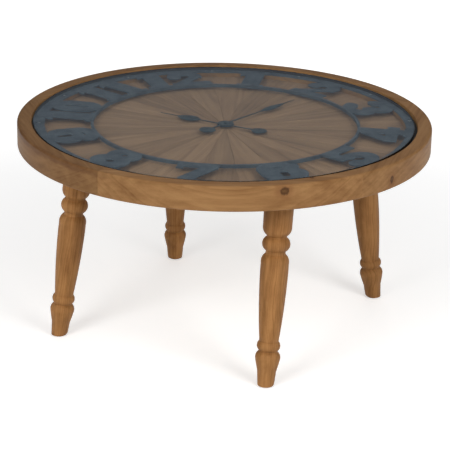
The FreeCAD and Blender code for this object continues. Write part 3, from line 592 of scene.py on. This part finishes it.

# %% [markdown]
# Each segment has its own tone and comes from another place in its tree, so the rings start anew at
# every joint. The tones are also painted shade: they fall from the front segment towards the back and
# the left, where less light reaches the rim. The knots sit on the outer face, apart from a small one at
# the inner edge of the top. The dark band is centred at the left of the front.

# %% Rim segments
rim_joint = math.radians(-123.7)
segment_count = 5
segment_turn = 2 * math.pi / segment_count
segment_shift = 0.7
# Partly each segment's own tone, partly painted shade: darker towards the back and the left.
segment_tones_and_shade = (0.44, 0.34, 0.28, 0.20, 0.08)
tree_middles = ((-0.30, -0.16), (-0.22, 0.20), (-0.35, -0.10), (-0.25, 0.15), (-0.28, -0.18))


def on_rim(azimuth_deg, height, inwards=0.0):
    """A point on the outer face of the rim, or set in from it."""
    angle = math.radians(azimuth_deg)
    reach = rim_outer - inwards
    return reach * math.cos(angle), reach * math.sin(angle), rim_low + height


rim_knots = [
    (on_rim(-74.5, 0.0405), 0.020, 0.019), (on_rim(-40.3, 0.020), 0.012, 0.018),
    (on_rim(-65.5, 0.053, 0.027), 0.009, 0.009), (on_rim(48.0, 0.020), 0.015, 0.014),
    (on_rim(120.0, 0.030), 0.020, 0.018), (on_rim(171.0, 0.015), 0.011, 0.010)]
rim_dark_bands = [(on_rim(-147.0, 0.047), 0.447, 0.26)]
rim_wood = wood_material("rim_wood", pale=(0.318, 0.167, 0.064), dark=(0.150, 0.061, 0.016),
                         ring_width=0.0085, contrast=0.32, waviness=0.012, tone_range=0.60,
                         knots=rim_knots, dark_bands=rim_dark_bands)


def rim_segment(number, steps=90):
    """The section swept round one segment. Along and across are measured on the line through the
    segment's middle, so the grain stays straight while the wood curves. The tree's middle lies as far
    out from the outer face and up from the underside as tree_middles says."""
    start = rim_joint + segment_turn * (number - 1)
    middle = start + segment_turn / 2
    angles = np.linspace(start, start + segment_turn, steps + 1)[:, None]
    radius, height = rim_outline[:, 0][None, :], rim_outline[:, 1][None, :]
    x, y = radius * np.cos(angles), radius * np.sin(angles)
    z = np.broadcast_to(height, x.shape)
    along = -x * math.sin(middle) + y * math.cos(middle) + segment_shift * number
    across = x * math.cos(middle) + y * math.sin(middle)
    side, rise = tree_middles[number - 1]
    place = np.stack([along, across - rim_outer - side, z - rim_low - rise], -1)
    return loft(f"rim_piece_{number}", np.stack([x, y, z], -1), "table", "rim_wood",
                f"rim_segment_{number}", rim_wood, tone=segment_tones_and_shade[number - 1], place=place)


rim_pieces = [rim_segment(number) for number in range(1, segment_count + 1)]
print("rim pieces:", [piece.name for piece in rim_pieces])

# %% [markdown]
# A turned leg is one profile spun round its axis. The profile is written as turning marks up the leg,
# each a radius and a height in shares of the leg's own. A single pair ends a straight run, and a pair
# of pairs is an arc: the place it passes through and the place where it ends.

# %% Leg profile
leg_block_height = 22.0 * mm
leg_radius = 30.65 * mm
leg_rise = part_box("board_core")[0].z - leg_block_height
foot_circles = (378.8 * mm, 366.7 * mm, 375.6 * mm, 371.2 * mm)
leg_top_circle = 328.0 * mm
leg_length = math.hypot(leg_rise, sum(foot_circles) / 4 - leg_top_circle)
longest_step = 0.012
leg_marks = [
    (0.555, -0.012), (0.650, 0.078), ((0.735, 0.104), (0.853, 0.146)), ((0.820, 0.168), (0.632, 0.184)),
    (0.625, 0.189), ((0.803, 0.216), (0.655, 0.239)), (0.665, 0.244), ((0.845, 0.405), (0.955, 0.612)),
    (0.948, 0.650), ((0.905, 0.679), (0.690, 0.700)), (0.662, 0.713), (0.690, 0.717),
    ((0.952, 0.752), (0.690, 0.788)), (0.668, 0.792), (0.700, 0.797), ((0.915, 0.816), (0.980, 0.845)),
    (1.000, 0.935), (0.985, 1.000)]


def arc_points(first, middle, last, steps=12):
    """Points of the circle through three points, from the first to the last by way of the middle one.
    The centre is as far from all three, which gives two straight-line equations for it."""
    a, b, c = (np.array(p, float) for p in (first, middle, last))
    rows = np.array([b - a, c - a]) * 2
    centre = np.linalg.solve(rows, [b @ b - a @ a, c @ c - a @ a])
    turns = [math.atan2(*(p - centre)[::-1]) for p in (a, b, c)]
    mid = (turns[1] - turns[0]) % (2 * math.pi)
    end = (turns[2] - turns[0]) % (2 * math.pi)
    if mid > end:
        end -= 2 * math.pi
    angles = turns[0] + np.linspace(0, end, steps + 1)[1:]
    reach = np.linalg.norm(a - centre)
    return [(centre[0] + reach * math.cos(t), centre[1] + reach * math.sin(t)) for t in angles]


def leg_profile():
    """The marks as points (radius, height). A long straight run is cut into equal steps."""
    scale = np.array([leg_radius, leg_length])
    points = [tuple(np.array(leg_marks[0]) * scale)]
    for mark in leg_marks[1:]:
        if isinstance(mark[0], tuple):
            points += arc_points(points[-1], np.array(mark[0]) * scale, np.array(mark[1]) * scale)
        else:
            target = np.array(mark) * scale
            last = np.array(points[-1])
            pieces = max(1, int(np.linalg.norm(target - last) / longest_step))
            points += [tuple(last + (target - last) * (k + 1) / pieces) for k in range(pieces)]
    return np.array(points)


leg_outline = leg_profile()
print("leg profile:", len(leg_outline), "rings")

# %% [markdown]
# Each leg leans outwards from its block to its own foot, and the foot is cut level where its pad
# begins. The legs are turned from glued staves. Each stave has its own tone, which draws fine upright
# lines on the wood. The tree's middle leans against the leg, so its rings show as long pointed tongues.

# %% Legs
foot_degs = (20.3, 108.3, 199.2, 285.2)
foot_level = 2.0 * mm
foot_softness = 1.5 * mm
leg_top_first = 20.7
# Each leg's tone is also painted light and shade: the back leg is made paler and the right leg darker.
leg_tones_and_light = (0.14, 0.95, 0.72, 0.50)
tree_lean = 0.09
figure_squeeze = 2.4
tree_start = np.array([0.0, 0.05, 0.0])
tree_step = np.array([0.9, 0.03, -0.02])
leg_wood = wood_material("leg_wood", pale=(0.358, 0.172, 0.058), dark=(0.155, 0.062, 0.016),
                         ring_width=0.0055, contrast=0.50, waviness=0.030, tone_range=0.4,
                         stave_width=0.027, stave_range=0.22)


def ring_point(radius, degrees, z):
    angle = math.radians(degrees)
    return np.array([radius * math.cos(angle), radius * math.sin(angle), z])


def leg(number, sides=72):
    """Rings square to the axis from the foot to the block. Near the floor a height above the foot's
    level becomes half the sum of itself and the root of its square plus the softness squared, which
    presses everything below that level flat."""
    foot = ring_point(foot_circles[number - 1], foot_degs[number - 1], 0.0)
    top = ring_point(leg_top_circle, leg_top_first + 90 * (number - 1), leg_rise)
    axis = (top - foot) / np.linalg.norm(top - foot)
    side = np.cross(axis, [0, 1, 0])
    side = side / np.linalg.norm(side)
    front = np.cross(axis, side)
    radius, along = leg_outline[:, 0][:, None], leg_outline[:, 1][:, None]
    cos_side, sin_side = circle(sides)
    local_x = radius * cos_side[None, :]
    local_y = radius * sin_side[None, :]
    points = foot + along[..., None] * axis + local_x[..., None] * side + local_y[..., None] * front
    above = points[..., 2] - foot_level
    points[..., 2] = foot_level + (above + np.sqrt(above ** 2 + foot_softness ** 2)) / 2
    along = np.broadcast_to(along, local_x.shape)
    place = np.stack([figure_squeeze * along, local_x, local_y + tree_lean * along], -1)
    place = place + tree_start + number * tree_step
    return loft(f"turned_leg_{number}", points, "table", "leg_wood", f"leg_{number}", leg_wood,
                tone=leg_tones_and_light[number - 1], place=place)


legs = [leg(number) for number in range(1, 5)]
print("legs:", [piece.name for piece in legs])

# %% [markdown]
# Under the clock lies a sunburst of 24 wedge boards. Each board runs from the middle outwards with its
# grain along its own centre line, and the tone changes from board to board. A thin bevel on the long
# edges lets the joints show as fine lines. Three neighbouring boards make one panel of the model.

# %% Sunburst boards
board_low, board_top = (corner.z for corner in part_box("sunburst_panel_1"))
board_reach = 406.0 * mm
board_eye = 6.0 * mm
clock_shift = 2.1 * mm
dial_turn_deg = 20.0
twelve = math.radians(90.0 + dial_turn_deg)
wedge_turn = math.radians(15.0)
wedge_tones = (0.55, 0.30, 0.75, 0.42, 0.60, 0.25, 0.68, 0.38, 0.52, 0.80, 0.33, 0.58,
               0.45, 0.72, 0.28, 0.62, 0.40, 0.66, 0.35, 0.78, 0.48, 0.30, 0.70, 0.50)
board_wood = wood_material("sunburst_wood", pale=(0.305, 0.181, 0.100), dark=(0.172, 0.094, 0.049),
                           ring_width=0.0070, contrast=0.45, waviness=0.012, tone_range=0.42)


def wedge_grid(number, steps=40, bevel=0.5 * mm, gap=0.1 * mm):
    """A wedge's section is a flat bar with two bevelled top edges, as wide as the wedge is at each
    radius. It starts at the middle of the clock and stops at the board's circle, which lies as far off
    as the root of (forward squared - distance squared + radius squared), less forward. Forward is how
    far the start point lies along the wedge, and distance how far from the circle's middle."""
    middle = twelve + wedge_turn * (number + 0.5)
    reach = np.linspace(board_eye, board_reach + clock_shift, steps + 1)[:, None]
    half = reach * math.tan(wedge_turn / 2) - gap
    cut = np.minimum(bevel, half * 0.3)
    across = np.concatenate([-half, half, half, half - cut, -half + cut, -half], axis=1)
    low, top = np.full_like(half, board_low), np.full_like(half, board_top)
    depth = np.concatenate([low, low, top - cut, top, top, top - cut], axis=1)
    start_x = clock_shift - across * math.sin(middle)
    start_y = across * math.cos(middle)
    forward = start_x * math.cos(middle) + start_y * math.sin(middle)
    limit = np.sqrt(forward ** 2 - start_x ** 2 - start_y ** 2 + board_reach ** 2) - forward
    out = np.minimum(reach, limit)
    x = start_x + out * math.cos(middle)
    y = start_y + out * math.sin(middle)
    beside_tree = across + 0.02 * (number % 5) - 0.04
    above_tree = depth - board_low + 0.02 + 0.012 * (number % 7)
    place = np.stack([out + 1.3 * number, beside_tree, above_tree], -1)
    return np.stack([x, y, depth], -1), place


def sunburst_panel(number, boards=3):
    """Three boards in one mesh: each board's faces count on from the last point of the one before."""
    points, faces, places, tones, first = [], [], [], [], 0
    for wedge in range((number - 1) * boards, number * boards):
        grid, place = wedge_grid(wedge)
        rows, around = grid.shape[:2]
        faces += grid_faces(rows, around, first)
        points.append(grid.reshape(-1, 3))
        places.append(place.reshape(-1, 3))
        tones.append(np.full(rows * around, wedge_tones[wedge]))
        first += rows * around
    return add_piece(f"sunburst_boards_{number}", np.concatenate(points), faces, "table", "board_wood",
                     f"sunburst_panel_{number}", board_wood, tone=np.concatenate(tones),
                     place=np.concatenate(places), sharp_deg=20.0)


panels = [sunburst_panel(number) for number in range(1, 9)]
print("sunburst:", len(panels), "panels")

# %% [markdown]
# The dial is steel plate with an aged blue-grey finish: cloudy darker patches, a few brown specks where
# rust starts, and a slightly rough surface. The band, the ring and the twelve numerals keep the shapes
# of the model and take this finish. It reads Object coordinates, so it stays fixed on the metal.

# %% Aged metal
specks_per_cloud = 14.0
rust_strength = 0.7


def make_patina_group():
    """Rust shows only where a fine speck and a dark patch meet: the two are multiplied."""
    tree, given, out = open_group("patina", [
        ("Position", "vector", ORIGIN), ("Metal", "colour", (0.06, 0.09, 0.12, 1)),
        ("Cloud", "colour", (0.03, 0.05, 0.07, 1)), ("Rust", "colour", (0.09, 0.05, 0.03, 1)),
        ("Grain", "value", 30.0)],
        [("Colour", "colour"), ("Roughness", "value"), ("Height", "value")])
    clouds = noise(tree, given["Position"], given["Grain"], detail=5.0, roughness=0.65)["Fac"]
    fine_scale = math_node(tree, "MULTIPLY", given["Grain"], specks_per_cloud)
    fine = noise(tree, given["Position"], fine_scale, detail=3.0)["Fac"]
    colour = blend_colours(tree, spread(tree, clouds, 0.35, 0.68), given["Metal"], given["Cloud"])
    speck, patch = spread(tree, fine, 0.60, 0.75), spread(tree, clouds, 0.45, 0.62)
    rusty = math_node(tree, "MULTIPLY", speck, patch)
    tree.links.new(paint(tree, colour, rusty, rust_strength, given["Rust"]), out["Colour"])
    tree.links.new(math_node(tree, "MULTIPLY_ADD", clouds, 0.35, 0.32), out["Roughness"])
    tree.links.new(fine, out["Height"])
    return tree


patina = make_patina_group()


def metal_material(name, metal, cloud, rust, grain):
    material, tree, principled = new_material(name, metallic=0.35)
    aged = fill(tree, patina, {"Position": object_position(tree), "Metal": (*metal, 1),
                               "Cloud": (*cloud, 1), "Rust": (*rust, 1), "Grain": grain})
    cover(tree, principled, aged["Colour"], aged, strength=0.2, distance=0.4 * mm)
    return material


def dress(material, *names):
    """Gives nodes of the model a material in place of the one they came with."""
    for name in names:
        slots = nodes[name].data.materials
        slots.clear()
        slots.append(material)


dial_metal = metal_material("dial_metal", (0.093, 0.120, 0.146), (0.055, 0.073, 0.095),
                            (0.094, 0.069, 0.053), 24.0)
numerals = [f"numeral_{hour:02d}" for hour in range(1, 13)]
dress(dial_metal, "dial_outer_band", "dial_inner_ring", *numerals)
print("dial: band, ring and", len(numerals), "numerals dressed")

# %% [markdown]
# A hand is a strip whose half width changes along its length: a round weight behind the hub, the hub
# disc, a thin stem, a leaf, and a needle to the tip. At each place the widest of these shapes wins.
# The strip is then given a thin section with softened edges.

# %% Hands
stem_half = 2.3 * mm
stem_taper = 1.7 * mm
hub_radius = 18 * mm
thinnest_half = 0.15 * mm
soft_edge = 0.35 * mm
hand_metal = metal_material("hand_metal", (0.050, 0.074, 0.088), (0.030, 0.046, 0.058),
                            (0.07, 0.05, 0.035), 60.0)


def disc_width(y, centre, radius):
    """Half width of a disc at each place along the hand: the leg of a right triangle."""
    return np.sqrt(np.maximum(radius ** 2 - (y - centre) ** 2, 0))


def leaf_width(y, start, reach, half, belly=0.42):
    """A leaf grows from a point to its belly and narrows again, each side as a sine."""
    share = np.clip((y - start) / reach, 0, 1)
    swell = np.where(share < belly, share / (2 * belly), 0.5 + (share - belly) / (2 * (1 - belly)))
    return half * np.sin(np.pi * swell)


def hand(name, node, body, reach, leaf, weight, low, top, clockwise_deg, steps=500):
    """The leaf is (start, length, half width) and the weight (distance behind the hub, radius). The
    strip starts a hair inside the weight's round end."""
    behind, weight_radius = weight
    y = np.linspace(-behind - weight_radius + 0.1 * mm, reach, steps)
    stem = np.where(y < 0, stem_half, stem_half - stem_taper * np.clip(y / reach, 0, 1))
    half = np.maximum.reduce([
        np.where(y > -behind, stem, thinnest_half), disc_width(y, -behind, weight_radius),
        disc_width(y, 0, hub_radius), leaf_width(y, *leaf)])[:, None]
    soft = np.minimum(soft_edge, half * 0.4)
    x = np.concatenate([-half, -half, -half + soft, half - soft, half, half], axis=1)
    levels = np.array([low, top - soft_edge, top, top, top - soft_edge, low])
    z = np.broadcast_to(levels, x.shape)
    y = np.broadcast_to(y[:, None], x.shape)
    turn = math.radians(dial_turn_deg - clockwise_deg)
    turned_x = clock_shift + x * math.cos(turn) - y * math.sin(turn)
    turned_y = x * math.sin(turn) + y * math.cos(turn)
    return loft(name, np.stack([turned_x, turned_y, z], -1), body, "hand_metal", node, hand_metal,
                sharp_deg=30.0)


hour_low, hour_high = (corner.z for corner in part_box("hour_hand"))
minute_low, minute_high = (corner.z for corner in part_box("minute_hand"))
hands = [
    hand("hour_pointer", "hour_hand", "hour_set", 165 * mm, (62 * mm, 62 * mm, 17 * mm),
         (83 * mm, 17 * mm), hour_low, hour_high, 318.5),
    hand("minute_pointer", "minute_hand", "minute_set", 245 * mm, (120 * mm, 92 * mm, 9.5 * mm),
         (61.5 * mm, 18 * mm), minute_low, minute_high, 59.2)]
dress(hand_metal, "minute_cap")
print("hands:", [piece.name for piece in hands])

# %% [markdown]
# The glass is a disc with a polished round edge. Its shader is plain glass with a faint green tint. For
# shadow rays it turns clear, because a path tracer would otherwise keep the lamps' light from the clock
# below and leave it dark and noisy.

# %% Glass
def glass_material():
    material, tree, principled = new_material("table_glass", transmission_weight=1.0, roughness=0.0,
                                              ior=1.45, base_color=(0.95, 0.98, 0.97, 1))
    shadow = put(tree, "ShaderNodeLightPath").outputs["Is Shadow Ray"]
    clear = put(tree, "ShaderNodeBsdfTransparent", {"Color": (0.93, 0.96, 0.95, 1)}).outputs[0]
    mix = put(tree, "ShaderNodeMixShader", {0: shadow, 1: principled.outputs[0], 2: clear}).outputs[0]
    tree.links.new(mix, tree.nodes["Material Output"].inputs["Surface"])
    return material


def glass_disc(sides=256, soft=1.0 * mm):
    """Rings from the middle of the underside out to the edge, round it, and back over the top."""
    low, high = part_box("glass_top")
    centre_x = (low.x + high.x) / 2
    radius = (high.x - low.x) / 2
    quarter = np.radians(np.linspace(0, 90, 6))
    sine, cosine = soft * np.sin(quarter), soft * np.cos(quarter)
    inner = radius * np.array([0.002, 0.25, 0.5, 0.75, 0.9, 0.98])
    reach = np.concatenate([inner, radius - soft + sine, radius - soft + cosine, inner[::-1]])
    level = np.concatenate([np.full_like(inner, low.z), low.z + soft - cosine,
                            high.z - soft + sine, np.full_like(inner, high.z)])
    cos_side, sin_side = circle(sides)
    grid = np.stack([centre_x + reach[:, None] * cos_side, reach[:, None] * sin_side,
                     np.broadcast_to(level[:, None], (len(level), sides))], -1)
    return loft("glass_disc", grid, "glass", "glass", "glass_top", glass_material(), sharp_deg=30.0)


glass = glass_disc()
print("glass:", tuple(round(v, 4) for v in glass.dimensions))

# %% [markdown]
# What is left keeps its modelled shape and gets a fitting finish: black rubber for the seal, zinc for
# the screws, bare plywood for the core, and plastics for the clock's works. A shared group adds a fine
# mottle, so that none of them is one flat colour.

# %% Finishes for the small and hidden parts
mottle_depth = 0.3
tree_offset = (0, 0.21, -0.35)
hidden_ring_width = 0.006


def make_mottle_group():
    """Brightness is 1 plus the noise's swing times the depth."""
    tree, given, out = open_group("mottle", [
        ("Position", "vector", ORIGIN), ("Colour", "colour", (0.5, 0.5, 0.5, 1)),
        ("Scale", "value", 400.0), ("Depth", "value", 0.15), ("Gloss Base", "value", 0.5)],
        [("Colour", "colour"), ("Roughness", "value"), ("Height", "value")])
    cloud = noise(tree, given["Position"], given["Scale"], detail=3.0)["Fac"]
    shade = {"Color": given["Colour"], "Value": swing(tree, cloud, given["Depth"], 1.0)}
    tree.links.new(put(tree, "ShaderNodeHueSaturation", shade).outputs[0], out["Colour"])
    tree.links.new(math_node(tree, "MULTIPLY_ADD", cloud, 0.2, given["Gloss Base"]), out["Roughness"])
    tree.links.new(cloud, out["Height"])
    return tree


mottle = make_mottle_group()


def plain_material(name, colour, rough, metal=0.0, scale=400.0, bump=0.1):
    material, tree, principled = new_material(name, metallic=metal)
    spots = fill(tree, mottle, {"Position": object_position(tree), "Colour": (*colour, 1),
                                "Scale": scale, "Depth": mottle_depth, "Gloss Base": rough})
    cover(tree, principled, spots["Colour"], spots, strength=bump, distance=0.3 * mm)
    return material


def hidden_wood(name, pale, dark):
    """Wood for a node of the model, which carries no grain_place. The grain group reads its Object
    coordinates, shifted so that the tree's middle runs below the piece."""
    material, tree, principled = new_material(name)
    place = vector_node(tree, "ADD", object_position(tree), tree_offset)
    grain = fill(tree, wood_grain, {"Place": place, "Pale": (*pale, 1), "Dark": (*dark, 1),
                                    "Ring Width": hidden_ring_width})
    tree.links.new(grain["Colour"], principled.inputs["Base Color"])
    tree.links.new(grain["Roughness"], principled.inputs["Roughness"])
    return material


dress(plain_material("seal_rubber", (0.008, 0.008, 0.009), 0.7), "glass_seal")
dress(plain_material("zinc_steel", (0.50, 0.50, 0.49), 0.3, 1.0),
      "band_screws", "board_screws", "block_screws", "leg_bolts")
dress(plain_material("brass", (0.62, 0.44, 0.17), 0.25, 1.0), "leg_inserts", "stem_nut_and_washer")
dress(plain_material("case_plastic", (0.02, 0.02, 0.02), 0.5, scale=900.0, bump=0.3),
      "movement_case", "movement_back")
dress(plain_material("knob_plastic", (0.035, 0.035, 0.035), 0.4), "setting_knob")
dress(plain_material("gear_plastic", (0.74, 0.72, 0.66), 0.4),
      "hour_tube", "minute_arbor", "motion_wheel")
dress(plain_material("circuit_lacquer", (0.02, 0.14, 0.05), 0.25), "circuit_board")
dress(plain_material("coil_wire", (0.50, 0.19, 0.07), 0.3, 0.8, scale=1500.0), "drive_coil")
dress(plain_material("cell_sleeve", (0.12, 0.13, 0.15), 0.3, 0.4, scale=90.0), "battery")
dress(plain_material("spring_steel", (0.62, 0.62, 0.60), 0.2, 1.0), "battery_contacts")
dress(plain_material("foot_felt", (0.10, 0.065, 0.04), 0.9, scale=1200.0, bump=0.5), "foot_pads")
leg_blocks = [f"leg_block_{number}" for number in range(1, 5)]
dress(hidden_wood("core_plywood", (0.52, 0.38, 0.23), (0.36, 0.23, 0.12)), "board_core")
dress(hidden_wood("block_wood", (0.42, 0.26, 0.13), (0.27, 0.15, 0.07)), *leg_blocks)
dress(hidden_wood("dowel_beech", (0.60, 0.44, 0.28), (0.48, 0.32, 0.18)), "rim_dowels")
print("the model has", len(nodes), "nodes")
